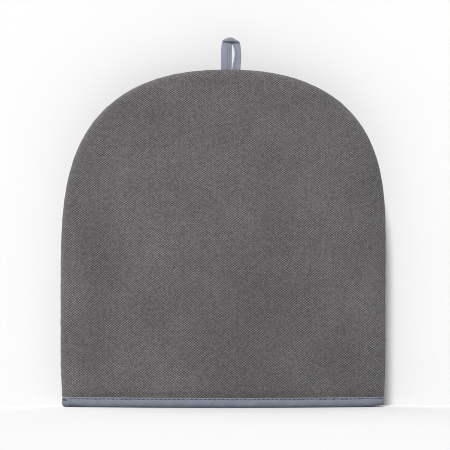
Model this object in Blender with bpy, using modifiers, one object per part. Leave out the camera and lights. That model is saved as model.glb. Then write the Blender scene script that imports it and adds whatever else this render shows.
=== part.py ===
"""Kettle cover: a padded tea cosy that stands on its hem with the mouth a little open.

Two arch-shaped padded walls are sewn together along the arch and turned. A bias binding
folds over the hem all the way round, and both ends of a folded tape are caught in the top
seam as a hanging loop. X runs along the width, Y from front to back, Z up, in metres. The
origin is on the floor under the middle of the cover.
"""

import math

import bmesh
import bpy
import numpy as np

# Outline of the cover, seen face on
WIDTH = 0.300
HEIGHT = 0.311
SPRING_HEIGHT = 0.120  # the sides run straight up to where the arch springs
ARCH_SIDE_POWER = 2.3  # powers of the superellipse: full shoulders and a flat top
ARCH_RISE_POWER = 3.4
TOP_LEAN = 0.0034  # the top of the cover sits this far right of the hem
LEAN_START = 0.110
HEM_TAPER = 0.0015  # each side draws in by this much down to the hem
TAPER_START = 0.045

# Section through the walls
HEM_DEPTH = 0.070  # front to back across the open mouth
WALL = 0.0045  # one padded wall
SEAM_ROLL = 0.007  # radius of the padded edge where a wall rolls into the seam
SEAM_DIP = 0.0008  # the stitched line lies this deep between the two rolled edges
SEAM_DIP_REACH = 0.0022
BELLY_POWER = 1.4  # how long the walls stay apart on their way up to the seam
UPRIGHT_HEM = 0.012  # the bound hem stands upright to this height
GAP = 0.0003  # between neighbouring pieces

# Binding tape folded over the hem
BINDING_HEIGHT = 0.0092
TAPE = 0.001
HEM_PINCH = TAPE + GAP  # the tape presses the wall in by its own thickness
PINCH_FADE = 0.007  # and the padding swells out again over this height
BINDING_ROUNDING = 0.0015
HEM_EDGE = TAPE + 2 * GAP  # the cut edge of the walls, inside the fold of the tape

# Hanging loop in the top seam
LOOP_X = 0.00715
LOOP_TAPE = 0.0014
LOOP_TUCK = 0.0035  # length of each end that is held in the seam
LOOP_HALF_WIDTH = 0.0094
LOOP_STEPS_ALONG = 56
LOOP_STEPS_ACROSS = 4
LOOP_BEVEL = 0.0003

# How finely the walls and the binding are divided
HEM_ROWS = (0.0, 0.0078, 0.0105, 0.0145, 0.0200, 0.0290)  # lengths up the seam from the hem
SIDE_STEPS = 22
TOP_STEPS = 18
BAND_STEPS = 4
ROLL_ANGLES = (-20, 0, 10, 24, 45, 67, 90)  # degrees round the rolled edge
BLOCK_FOOT = 0.105  # the middle field of a wall: half its width at the hem,
BLOCK_SHOULDER = 0.082  # half its width at its two upper corners,
BLOCK_HEIGHT = 0.210  # the height of those corners and the rise between them
BLOCK_CROWN = 0.035
CORNER_SHARE = 0.335  # where the upper corners look out on the seam's length
HEM_CURVE_STEPS = 40
HEM_TIP_STEPS = 8

# Soft troughs pressed into each wall: middle, half sizes and depth
TROUGH_COLUMNS = ("x", "z", "half_width", "half_height", "depth")
FRONT_TROUGHS = (
    (-0.072, 0.120, 0.030, 0.085, 0.0012),
    (0.088, 0.110, 0.028, 0.060, 0.0009),
    (0.124, 0.045, 0.016, 0.030, 0.0006),
    (-0.108, 0.070, 0.014, 0.035, 0.0005),
    (0.036, 0.050, 0.026, 0.040, 0.0007),
)
BACK_TROUGHS = (
    (0.060, 0.130, 0.030, 0.080, 0.0010),
    (-0.070, 0.080, 0.026, 0.055, 0.0008),
    (-0.020, 0.200, 0.035, 0.040, 0.0006),
)

# The loop's two edges along its length, up from the seam, over the fold and down again:
# the outer edge crosses in front as the lower lip of the fold, the inner one turns at its tip
LOOP_COLUMNS = (
    "outer_x", "outer_y", "outer_z", "inner_x", "inner_y", "inner_z", "puff",
)
LOOP_EDGES = (
    (-0.0088, 0.0000, -0.0035, 0.0008, 0.0000, -0.0035, 0.0000),
    (-0.0090, 0.0000, 0.0020, 0.0009, 0.0000, 0.0020, 0.0000),
    (-0.0091, 0.0000, 0.0110, 0.0010, 0.0002, 0.0110, 0.0003),
    (-0.0089, 0.0003, 0.0190, 0.0010, 0.0004, 0.0190, 0.0003),
    (-0.0082, 0.0006, 0.0244, 0.0008, 0.0008, 0.0252, 0.0000),
    (-0.0076, 0.0000, 0.0262, 0.0000, 0.0020, 0.0276, 0.0008),
    (-0.0062, -0.0009, 0.0260, -0.0006, 0.0034, 0.0276, 0.0016),
    (-0.0033, -0.0012, 0.0258, -0.0004, 0.0042, 0.0274, 0.0023),
    (0.0004, -0.0013, 0.0257, 0.0004, 0.0044, 0.0274, 0.0025),
    (0.0039, -0.0012, 0.0255, 0.0010, 0.0042, 0.0272, 0.0023),
    (0.0068, -0.0009, 0.0251, 0.0015, 0.0034, 0.0272, 0.0016),
    (0.0081, 0.0000, 0.0250, 0.0014, 0.0020, 0.0268, 0.0008),
    (0.0087, 0.0006, 0.0232, 0.0013, 0.0008, 0.0244, 0.0000),
    (0.0095, 0.0003, 0.0180, 0.0034, 0.0004, 0.0180, 0.0003),
    (0.0096, 0.0000, 0.0110, 0.0032, 0.0002, 0.0110, 0.0003),
    (0.0091, 0.0000, 0.0030, 0.0016, 0.0000, 0.0030, 0.0000),
    (0.0088, 0.0000, -0.0035, 0.0013, 0.0000, -0.0035, 0.0000),
)

HALF_WIDTH = WIDTH / 2
HALF_DEPTH = HEM_DEPTH / 2
ARCH_RISE = HEIGHT - SPRING_HEIGHT

CLOTH_GREY = (0.135, 0.130, 0.132, 1.0)
TAPE_BLUE_GREY = (0.215, 0.230, 0.285, 1.0)
CLOTH_ROUGHNESS = 0.9


def clear_scene():
    for obj in list(bpy.data.objects):
        bpy.data.objects.remove(obj, do_unlink=True)


def new_collection(name):
    collection = bpy.data.collections.new(name)
    bpy.context.scene.collection.children.link(collection)
    return collection


def cloth_material(name, colour):
    """A matt woven cloth of one colour."""
    material = bpy.data.materials.new(name)
    material.use_nodes = True
    shader = material.node_tree.nodes["Principled BSDF"]
    shader.inputs["Base Color"].default_value = colour
    shader.inputs["Roughness"].default_value = CLOTH_ROUGHNESS
    shader.inputs["Metallic"].default_value = 0.0
    return material


def smooth_step(share):
    share = min(max(share, 0.0), 1.0)
    return share * share * (3 - 2 * share)


def lean(z):
    """How far the cover leans to the right at this height."""
    return TOP_LEAN * smooth_step((z - LEAN_START) / (HEIGHT - LEAN_START))


def arch_half_width(rise_share):
    """Half the cover's width at a share of the arch's rise."""
    return HALF_WIDTH * (1 - rise_share**ARCH_RISE_POWER) ** (1 / ARCH_SIDE_POWER)


def arch_height(x):
    """Height of the top seam above a point this far from the middle."""
    across = min(abs(x) / HALF_WIDTH, 1.0)
    return SPRING_HEIGHT + ARCH_RISE * (1 - across**ARCH_SIDE_POWER) ** (1 / ARCH_RISE_POWER)


def seam_line(samples=600):
    """Closely spaced points of the seam, from the left hem corner over the top to the right,
    with their shares of its length."""
    side_z = np.linspace(HEM_EDGE, SPRING_HEIGHT, samples)
    taper = [HEM_TAPER * smooth_step(1 - z / TAPER_START) for z in side_z]
    side_x = HALF_WIDTH - np.array(taper)
    rise = 1 - (1 - np.linspace(0, 1, samples)[1:]) ** 3
    half_x = np.concatenate([side_x, arch_half_width(rise)])
    half_z = np.concatenate([side_z, SPRING_HEIGHT + ARCH_RISE * rise])
    x = np.concatenate([-half_x, half_x[-2::-1]])
    z = np.concatenate([half_z, half_z[-2::-1]])
    x = x + np.array([lean(height) for height in z])
    run = np.concatenate([[0], np.cumsum(np.hypot(np.diff(x), np.diff(z)))])
    return run / run[-1], x, z


SEAM_SHARES, SEAM_X, SEAM_Z = seam_line()
SIDE_LENGTH = CORNER_SHARE * np.hypot(np.diff(SEAM_X), np.diff(SEAM_Z)).sum()


def seam_point(share):
    return np.array([
        np.interp(share, SEAM_SHARES, SEAM_X),
        np.interp(share, SEAM_SHARES, SEAM_Z),
    ])


def seam_inward(share):
    """Unit vector in the plane of the seam that points into the cover."""
    step = 0.002
    before = seam_point(max(share - step, 0))
    after = seam_point(min(share + step, 1))
    along = (after - before) / np.linalg.norm(after - before)
    return np.array([along[1], -along[0]])


def lens_depth(x, z):
    """How far a wall stands off the seam plane beyond its rolled edge, as the mouth is open."""
    x_from_middle = x - lean(z)
    across = max(1 - (x_from_middle / HALF_WIDTH) ** 2, 0.0)
    rise = (z - UPRIGHT_HEM) / (arch_height(x_from_middle) - UPRIGHT_HEM)
    rise = min(max(rise, 0.0), 1.0)
    return (HALF_DEPTH - SEAM_ROLL) * across * (1 - rise**BELLY_POWER)


def hem_pinch(z):
    """How far the binding presses the wall in at this height."""
    return HEM_PINCH * (1 - smooth_step((z - BINDING_HEIGHT - GAP) / PINCH_FADE))


def trough_depth(troughs, x, z):
    """How far the soft troughs sink the wall in at this place."""
    depth = 0.0
    for values in troughs:
        trough = dict(zip(TROUGH_COLUMNS, values))
        across = (x - trough["x"]) / trough["half_width"]
        up = (z - trough["z"]) / trough["half_height"]
        depth += trough["depth"] * math.exp(-across * across - up * up)
    return depth


def side_share(step):
    """Share of a side's length at a step up from the hem, with close rows at the binding."""
    if step < len(HEM_ROWS):
        return HEM_ROWS[step] / SIDE_LENGTH
    last = HEM_ROWS[-1] / SIDE_LENGTH
    return last + (1 - last) * (step - len(HEM_ROWS) + 1) / (SIDE_STEPS - len(HEM_ROWS) + 1)


def station_share(station):
    """Share of the seam's length at a station, counted from the left hem corner."""
    if station <= SIDE_STEPS:
        return CORNER_SHARE * side_share(station)
    if station <= SIDE_STEPS + TOP_STEPS:
        along_top = (station - SIDE_STEPS) / TOP_STEPS
        return CORNER_SHARE + (1 - 2 * CORNER_SHARE) * along_top
    return 1 - CORNER_SHARE * side_share(2 * SIDE_STEPS + TOP_STEPS - station)


def block_side(step, direction):
    """A point of the middle field's left (-1) or right (1) side, from the hem up."""
    share = side_share(step)
    x = BLOCK_FOOT + (BLOCK_SHOULDER - BLOCK_FOOT) * share
    shortfall = SIDE_LENGTH - (BLOCK_HEIGHT - HEM_EDGE)
    z = HEM_EDGE + SIDE_LENGTH * share - shortfall * share * share
    return np.array([direction * x + lean(z), z])


def block_top(share):
    """A point of the middle field's upper side, from left to right."""
    across = 2 * share - 1
    z = BLOCK_HEIGHT + BLOCK_CROWN * (1 - across * across)
    return np.array([across * BLOCK_SHOULDER + lean(z), z])


def block_edge(station):
    """The middle field's edge opposite a station of the seam."""
    if station <= SIDE_STEPS:
        return block_side(station, -1)
    if station <= SIDE_STEPS + TOP_STEPS:
        return block_top((station - SIDE_STEPS) / TOP_STEPS)
    return block_side(2 * SIDE_STEPS + TOP_STEPS - station, 1)


def band_point(station, row, side, troughs):
    """A point of the outer surface in the band between the seam and the middle field."""
    share = station_share(station)
    inward = seam_inward(share)
    if station in (0, 2 * SIDE_STEPS + TOP_STEPS):
        inward = np.array([math.copysign(1, inward[0]), 0.0])
    angle = math.radians(ROLL_ANGLES[min(row, len(ROLL_ANGLES) - 1)])
    rolled = seam_point(share) + SEAM_ROLL * (1 - math.cos(angle)) * inward
    field = max(row - len(ROLL_ANGLES) + 1, 0) / BAND_STEPS
    x, z = rolled + (block_edge(station) - rolled) * field
    roll_out = SEAM_ROLL * math.sin(angle)
    sunk = trough_depth(troughs, x, z) * smooth_step(field)
    pinch = hem_pinch(z)
    depth = roll_out + lens_depth(x, z) - sunk - pinch * math.sin(angle)
    dip = SEAM_DIP * max(0.0, 1 - abs(roll_out) / SEAM_DIP_REACH) ** 2
    inset = pinch * math.cos(angle) + dip * (1 - pinch / HEM_PINCH)
    return x + inset * inward[0], side * depth, z + inset * inward[1]


def block_point(column, row, side, troughs):
    """A point of the outer surface in the middle field, blended between its four sides."""
    across = column / TOP_STEPS
    left, right = block_side(row, -1), block_side(row, 1)
    top = block_top(across)
    foot = block_side(0, -1) * (1 - across) + block_side(0, 1) * across
    up = (left[1] - foot[1]) / (BLOCK_HEIGHT - HEM_EDGE)
    corners = foot * (1 - up) + (block_top(0) * (1 - across) + block_top(1) * across) * up
    x, z = left * (1 - across) + right * across + foot * (1 - up) + top * up - corners
    depth = lens_depth(x, z) + SEAM_ROLL - trough_depth(troughs, x, z) - hem_pinch(z)
    return x, side * depth, z


def add_mapped_grid(bm, columns, rows, place):
    """A flat grid whose vertices are then put in place by their column and row."""
    grid = bmesh.ops.create_grid(bm, x_segments=columns, y_segments=rows, size=0.5)
    for vert in grid["verts"]:
        column = round((vert.co.x + 0.5) * columns)
        row = round((vert.co.y + 0.5) * rows)
        vert.co = place(column, row)


def add_object(name, mesh, collection, material=None):
    obj = bpy.data.objects.new(name, mesh)
    collection.objects.link(obj)
    if material:
        mesh.materials.append(material)
    return obj


def add_cutter(name, low, high, collection):
    """A box between two corners that cuts another piece and isn't part of the cover."""
    bm = bmesh.new()
    bmesh.ops.create_cube(bm, size=1.0)
    low, high = np.array(low), np.array(high)
    for vert in bm.verts:
        vert.co = (low + high) / 2 + np.array(vert.co) * (high - low)
    mesh = bpy.data.meshes.new(name)
    bm.to_mesh(mesh)
    bm.free()
    cutter = add_object(name, mesh, collection)
    cutter.hide_render = True
    cutter.display_type = "WIRE"
    return cutter


def smooth_shaded(mesh, sharp_degrees=50):
    mesh.shade_smooth()
    mesh.set_sharp_from_angle(angle=math.radians(sharp_degrees))


def padded_wall(name, side, troughs, material, collection, cutters):
    """One wall of cloth, padding and inner cloth; side is -1 at the front and 1 at the back."""
    bm = bmesh.new()
    rolls = len(ROLL_ANGLES) - 1
    add_mapped_grid(
        bm, 2 * SIDE_STEPS + TOP_STEPS, rolls + BAND_STEPS,
        lambda station, row: band_point(station, row, side, troughs),
    )
    add_mapped_grid(
        bm, TOP_STEPS, SIDE_STEPS,
        lambda column, row: block_point(column, row, side, troughs),
    )
    bmesh.ops.remove_doubles(bm, verts=bm.verts, dist=0.00002)
    bmesh.ops.recalc_face_normals(bm, faces=bm.faces)
    facing = sum(face.normal.y * face.calc_area() for face in bm.faces)
    if facing * side < 0:
        bmesh.ops.reverse_faces(bm, faces=bm.faces)
    mesh = bpy.data.meshes.new(name)
    bm.to_mesh(mesh)
    bm.free()
    smooth_shaded(mesh)
    wall = add_object(name, mesh, collection, material)

    padding = wall.vertex_groups.new(name="padding")
    for vert in mesh.vertices:
        padding.add([vert.index], (WALL - hem_pinch(vert.co.z)) / WALL, "REPLACE")
    thicken = wall.modifiers.new("thickness", "SOLIDIFY")
    thicken.thickness = WALL
    thicken.offset = -1
    thicken.use_even_offset = True
    thicken.vertex_group = padding.name

    for cutter, operation in cutters:
        cut = wall.modifiers.new(cutter.name, "BOOLEAN")
        cut.operation = operation
        cut.object = cutter
    return wall


def hem_outline():
    """The outside of the cover just above the floor, as points all the way round."""
    half = HALF_WIDTH - HEM_TAPER
    tip = np.radians(np.linspace(0, 90, HEM_TIP_STEPS, endpoint=False))
    tip_x = half - SEAM_ROLL * (1 - np.cos(tip))
    flat_x = np.linspace(half - SEAM_ROLL, -(half - SEAM_ROLL), HEM_CURVE_STEPS)
    front_x = np.concatenate([tip_x, flat_x, -tip_x[::-1]])
    rolled = np.concatenate([np.sin(tip), np.ones(HEM_CURVE_STEPS), np.sin(tip[::-1])])
    lens = np.array([lens_depth(x, UPRIGHT_HEM) for x in front_x])
    front_y = -(SEAM_ROLL * rolled + lens)
    x = np.concatenate([front_x, front_x[::-1]])
    y = np.concatenate([front_y, -front_y[::-1]])
    return np.stack([x, y], axis=1)


def inset_loop(points, distance):
    """A closed loop of points moved towards its inside."""
    along = np.roll(points, -1, axis=0) - np.roll(points, 1, axis=0)
    along /= np.linalg.norm(along, axis=1)[:, None]
    across = np.stack([-along[:, 1], along[:, 0]], axis=1)
    inward = across if (across * -points).sum() > 0 else -across
    return points + inward * distance


def poly_curve(name, points, collection):
    """A closed curve of straight steps through points."""
    curve = bpy.data.curves.new(name, "CURVE")
    spline = curve.splines.new("POLY")
    spline.points.add(len(points) - 1)
    for spot, place in zip(spline.points, points):
        spot.co = (*place, 1.0)
    spline.use_cyclic_u = True
    obj = bpy.data.objects.new(name, curve)
    collection.objects.link(obj)
    return obj


def binding_section():
    """The folded tape cut across: two legs up the wall and a flat-bottomed fold."""
    outer = (WALL - HEM_PINCH) / 2 + HEM_PINCH
    inner = outer - TAPE
    turns = np.radians(np.linspace(0, 90, 4))
    corner_x = outer - BINDING_ROUNDING * (1 - np.sin(turns))
    corner_z = BINDING_ROUNDING * (1 - np.cos(turns))
    right = list(zip(corner_x, corner_z))
    right += [
        (outer, BINDING_HEIGHT - TAPE / 2),
        (outer - TAPE / 2, BINDING_HEIGHT),
        (inner, BINDING_HEIGHT - TAPE / 4),
        (inner, TAPE + GAP),
        (inner - GAP, TAPE),
    ]
    left = [(-x, z) for x, z in reversed(right)]
    return [(x, z, 0.0) for x, z in reversed(right + left)]


def hem_binding(material, parts, guides):
    """The bias tape, folded over the cut edge of both walls all the way round."""
    section = poly_curve("binding_section", binding_section(), guides)
    section.data.dimensions = "2D"
    section.data.fill_mode = "NONE"
    section.hide_render = True
    section.display_type = "WIRE"
    middle = inset_loop(hem_outline(), (WALL + HEM_PINCH) / 2)
    places = [(x, y, 0.0) for x, y in middle]
    binding = poly_curve("hem_binding", places, parts)
    binding.data.dimensions = "3D"
    binding.data.twist_mode = "Z_UP"
    binding.data.bevel_mode = "OBJECT"
    binding.data.bevel_object = section
    binding.data.materials.append(material)
    return binding


def loop_row(position):
    """The loop's edges at a position along its table, on a smooth curve through the rows."""
    rows = np.array(LOOP_EDGES)
    index = min(int(position), len(rows) - 2)
    t = position - index
    before, start, end, after = (
        rows[min(max(index + step, 0), len(rows) - 1)] for step in (-1, 0, 1, 2)
    )
    return 0.5 * (
        2 * start
        + (end - before) * t
        + (2 * before - 5 * start + 4 * end - after) * t**2
        + (3 * start - before - 3 * end + after) * t**3
    )


def loop_point(along, across):
    """A point of the tape's middle, raised between its edges where the fold puffs out."""
    values = loop_row(along * (len(LOOP_EDGES) - 1))
    edge = dict(zip(LOOP_COLUMNS, values))
    outer = np.array([edge["outer_x"], edge["outer_y"], edge["outer_z"]])
    inner = np.array([edge["inner_x"], edge["inner_y"], edge["inner_z"]])
    puff = edge["puff"] * math.sin(math.pi * across)
    fold = smooth_step((edge["outer_z"] - 0.024) / 0.002)
    lift = np.array([0.0, -puff, puff * fold])
    top_seam = np.array([LOOP_X, 0.0, arch_height(LOOP_X - TOP_LEAN)])
    return outer + (inner - outer) * across + lift + top_seam


def hanging_loop(material, collection):
    """A strip of folded tape bent over at the top, its two ends side by side in the seam."""
    bm = bmesh.new()
    add_mapped_grid(
        bm, LOOP_STEPS_ALONG, LOOP_STEPS_ACROSS,
        lambda column, row: loop_point(column / LOOP_STEPS_ALONG, row / LOOP_STEPS_ACROSS),
    )
    mesh = bpy.data.meshes.new("hanging_loop")
    bm.to_mesh(mesh)
    bm.free()
    smooth_shaded(mesh)
    loop = add_object("hanging_loop", mesh, collection, material)
    thicken = loop.modifiers.new("thickness", "SOLIDIFY")
    thicken.thickness = LOOP_TAPE
    thicken.offset = 0
    soften = loop.modifiers.new("soft edges", "BEVEL")
    soften.width = LOOP_BEVEL
    soften.segments = 1
    soften.limit_method = "ANGLE"
    soften.angle_limit = math.radians(60)
    return loop


def build():
    clear_scene()
    cover = new_collection("kettle_cover")
    cutters = new_collection("cutters")
    cloth = cloth_material("grey_canvas", CLOTH_GREY)
    tape = cloth_material("binding_tape", TAPE_BLUE_GREY)

    reach = WIDTH
    loop_side = LOOP_HALF_WIDTH + 2 * GAP
    slot_half = LOOP_TAPE / 2 + GAP
    top = arch_height(LOOP_X - TOP_LEAN)
    slot = add_cutter(
        "loop_slot",
        (LOOP_X - loop_side, -slot_half, top - LOOP_TUCK - GAP),
        (LOOP_X + loop_side, slot_half, top + LOOP_TUCK),
        cutters,
    )
    for name, side, troughs in (
        ("front_wall", -1, FRONT_TROUGHS),
        ("back_wall", 1, BACK_TROUGHS),
    ):
        near, far = sorted((side * GAP / 2, side * reach))
        half_space = add_cutter(name + "_side", (-reach, near, -reach), (reach, far, 2 * reach), cutters)
        padded_wall(
            name, side, troughs, cloth, cover,
            ((half_space, "INTERSECT"), (slot, "DIFFERENCE")),
        )
    hem_binding(tape, cover, cutters)
    hanging_loop(tape, cover)


build()
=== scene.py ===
import math

import bpy
import numpy as np
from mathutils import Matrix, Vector, noise


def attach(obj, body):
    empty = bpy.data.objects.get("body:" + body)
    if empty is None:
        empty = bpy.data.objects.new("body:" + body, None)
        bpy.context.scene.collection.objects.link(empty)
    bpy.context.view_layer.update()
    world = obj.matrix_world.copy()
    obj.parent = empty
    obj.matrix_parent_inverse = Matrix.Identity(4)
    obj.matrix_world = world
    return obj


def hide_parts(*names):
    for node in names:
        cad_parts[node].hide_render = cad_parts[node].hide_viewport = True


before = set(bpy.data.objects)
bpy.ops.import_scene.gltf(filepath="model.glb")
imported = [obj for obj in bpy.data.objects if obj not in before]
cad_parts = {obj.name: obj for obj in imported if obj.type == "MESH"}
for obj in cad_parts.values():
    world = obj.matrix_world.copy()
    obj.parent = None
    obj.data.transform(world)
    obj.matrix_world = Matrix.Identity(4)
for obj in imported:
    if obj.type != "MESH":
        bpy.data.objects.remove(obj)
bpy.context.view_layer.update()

# Front and back wall: two arch-shaped panels of coarse charcoal canvas with thin wadding,
# sewn together along the arch and turned, so that both roll softly into the seam. Their
# mouth stands open by the depth of the bound hem.
half_width = 0.150
spring_height = 0.120
arch_rise = 0.191
arch_side_power, arch_rise_power = 2.3, 3.4
top_lean, lean_start, lean_reach = 0.0034, 0.110, 0.201
hem_taper, taper_top = 0.0015, 0.045
half_depth = 0.035
belly_power = 1.4
wall_thickness = 0.0045
seam_roll = 0.007
seam_edge_angle = 0.03
hem_edge = 0.0016
binding_height = 0.0092
hem_pinch_depth, pinch_fade = 0.0013, 0.007
upright_hem = 0.012
gap = 0.0003
loop_x = 0.00715

# Each wall is divided into a band along the seam and a middle field with four curved sides.
side_share_of_seam = 0.335
field_foot, field_shoulder = 0.105, 0.082
field_height, field_crown = 0.210, 0.035
roll_angles = np.radians([1.3, 5, 9, 13, 18, 24, 32, 41, 51, 62, 75, 90])
field_shares = np.linspace(0, 1, 22)[1:] ** 1.12
hem_rows = np.array([0, 3, 5.5, 7.8, 8.8, 9.8, 10.9, 12, 13.3, 14.8, 16.5, 18.4, 20.4]) / 1000
first_even_row = 0.0226

# Height and size of the wadding's bumps, of the drag lines over the binding and of the
# puckers at the seam, then the seam's dip and the slot in it that takes the loop.
broad_bump, broad_size = 0.0016, 0.060
small_bump, small_size = 0.00040, 0.021
drag_depth, drag_size, drag_top = 0.00030, 0.011, 0.034
pucker_depth, pucker_size, pucker_reach = 0.00042, 0.0080, 0.0065
dip_depth, dip_reach = 0.0010, 0.0022
slot_depth, slot_half, slot_end, slot_reach = 0.00085, 0.0112, 0.0018, 0.004
deepest_hollow = 0.0022
edge_margin, edge_fade = 0.004, 0.030  # no hollows this close to the outline
held_top, held_fade = 0.011, 0.012  # no bumps where the binding holds the cloth
tuck_start, tuck_reach = 0.0086, 0.0016  # the seam's edge draws in only at the binding

# Picks lie a little closer at the hem than at the top, as in the photo.
pick_rate, pick_growth = 0.937, 0.251


def smooth_step(share):
    """A share from 0 to 1 with a soft start and a soft end."""
    share = np.clip(share, 0, 1)
    return share * share * (3 - 2 * share)


def lean(z):
    """How far the cover leans to the right at this height."""
    return top_lean * smooth_step((z - lean_start) / lean_reach)


def arch_height(x):
    """Height of the top seam this far from the middle."""
    across = np.minimum(np.abs(x) / half_width, 1)
    return spring_height + arch_rise * (1 - across**arch_side_power) ** (1 / arch_rise_power)


def belly(x, z):
    """How far a wall stands off the seam beyond its rolled edge."""
    from_middle = x - lean(z)
    across = np.maximum(1 - (from_middle / half_width) ** 2, 0)
    rise = np.clip((z - upright_hem) / (arch_height(from_middle) - upright_hem), 0, 1)
    return (half_depth - seam_roll) * across * (1 - rise**belly_power)


def hem_pinch(z):
    """How far the stitched binding presses the padding in."""
    return hem_pinch_depth * (1 - smooth_step((z - binding_height - gap) / pinch_fade))


def seam_line():
    """Run, x and z along the seam, from the left hem corner over the top to the right."""
    z = np.linspace(hem_edge, spring_height, 400)
    x = half_width - hem_taper * smooth_step(1 - z / taper_top)
    rise = 1 - (1 - np.linspace(0, 1, 600)[1:]) ** 3
    x = np.concatenate([x, half_width * (1 - rise**arch_rise_power) ** (1 / arch_side_power)])
    z = np.concatenate([z, spring_height + arch_rise * rise])
    x = np.concatenate([-x, x[-2::-1]])
    z = np.concatenate([z, z[-2::-1]])
    x = x + lean(z)
    run = np.concatenate([[0], np.cumsum(np.hypot(np.diff(x), np.diff(z)))])
    return run, x, z


seam_run, seam_x, seam_z = seam_line()
seam_length = seam_run[-1]
side_length = side_share_of_seam * seam_length
side_rows = np.concatenate([hem_rows, np.linspace(first_even_row, side_length, 106)])
side_shares = side_rows / side_length
top_shares = np.linspace(0, 1, 111)
side_steps, top_steps = len(side_shares) - 1, len(top_shares) - 1
stations = 2 * side_steps + top_steps
band_rows = len(roll_angles) + len(field_shares) - 1


def field_side(direction):
    """The left (-1) or right (1) side of a wall's middle field, from the hem up."""
    x = direction * (field_foot - (field_foot - field_shoulder) * side_shares)
    z = hem_edge + side_length * side_shares
    z = z - (side_length - (field_height - hem_edge)) * side_shares**2
    return np.stack([x + lean(z), z], axis=-1)


def field_top():
    """The upper side of a wall's middle field, from left to right."""
    across = 2 * top_shares - 1
    z = field_height + field_crown * (1 - across**2)
    return np.stack([across * field_shoulder + lean(z), z], axis=-1)


def wall_layout():
    """Where each point of a wall lies: its place in the plane of the seam, its angle round
    the rolled edge, the way in from the seam, and the run along it."""
    left, right, top = field_side(-1), field_side(1), field_top()
    run = np.concatenate([
        side_rows,
        side_length + (seam_length - 2 * side_length) * top_shares[1:],
        seam_length - side_rows[-2::-1],
    ])

    def on_seam(at):
        return np.stack([np.interp(at, seam_run, seam_x), np.interp(at, seam_run, seam_z)], axis=-1)

    seam = on_seam(run)
    step = 0.0015
    ahead = on_seam(run + step) - on_seam(run - step)
    ahead /= np.linalg.norm(ahead, axis=-1, keepdims=True)
    inward = np.stack([ahead[:, 1], -ahead[:, 0]], axis=-1)
    edge = np.concatenate([left, top[1:], right[-2::-1]])
    places, angles, ways, runs = [], [], [], []
    for row in range(band_rows):
        angle = roll_angles[min(row, len(roll_angles) - 1)]
        share = 0 if row < len(roll_angles) else field_shares[row - len(roll_angles)]
        rolled = seam + seam_roll * (1 - math.cos(angle)) * inward
        places.append(rolled + (edge - rolled) * share)
        angles.append(np.full(len(run), angle))
        ways.append(inward)
        runs.append(run)
    across = top_shares[:, None, None]
    up = ((left[:, 1] - hem_edge) / (field_height - hem_edge))[None, :, None]
    foot = left[0] * (1 - across) + right[0] * across
    corners = foot * (1 - up) + (top[0] * (1 - across) + top[-1] * across) * up
    field = left * (1 - across) + right * across + foot * (1 - up) + top[:, None] * up - corners
    count = field.shape[0] * field.shape[1]
    places.append(field.reshape(-1, 2))
    angles.append(np.full(count, math.pi / 2))
    ways.append(np.zeros((count, 2)))
    runs.append(np.zeros(count))
    return tuple(np.concatenate(part) for part in (places, angles, ways, runs))


def wall_faces():
    """Four-sided faces over the band along the seam and the middle field."""

    def band(station, row):
        if row < band_rows:
            return row * (stations + 1) + station
        column = min(max(station - side_steps, 0), top_steps)
        height = min(station, side_steps, stations - station)
        return field(column, height)

    def field(column, row):
        return band_rows * (stations + 1) + column * (side_steps + 1) + row

    faces = []
    for row in range(band_rows):
        for station in range(stations):
            faces.append((
                band(station, row), band(station + 1, row),
                band(station + 1, row + 1), band(station, row + 1),
            ))
    for column in range(top_steps):
        for row in range(side_steps):
            faces.append((
                field(column, row), field(column, row + 1),
                field(column + 1, row + 1), field(column + 1, row),
            ))
    return faces


def unevenness(x, z, size, seed):
    """Soft hills and hollows of the wadding, between -1 and 1."""
    return np.array([noise.noise(Vector((a / size, b / size, seed))) for a, b in zip(x, z)])


def add_object(name, data):
    """An object of this data in the scene."""
    thing = bpy.data.objects.new(name, data)
    bpy.context.scene.collection.objects.link(thing)
    return thing


def lay_flat(mesh, name, flat):
    """Gives a mesh a UV map from the place of each of its points on the flat cloth."""
    corners = np.zeros(len(mesh.loops), np.int32)
    mesh.loops.foreach_get("vertex_index", corners)
    mesh.uv_layers.new(name=name).data.foreach_set("uv", flat[corners].astype(np.float32).ravel())


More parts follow.
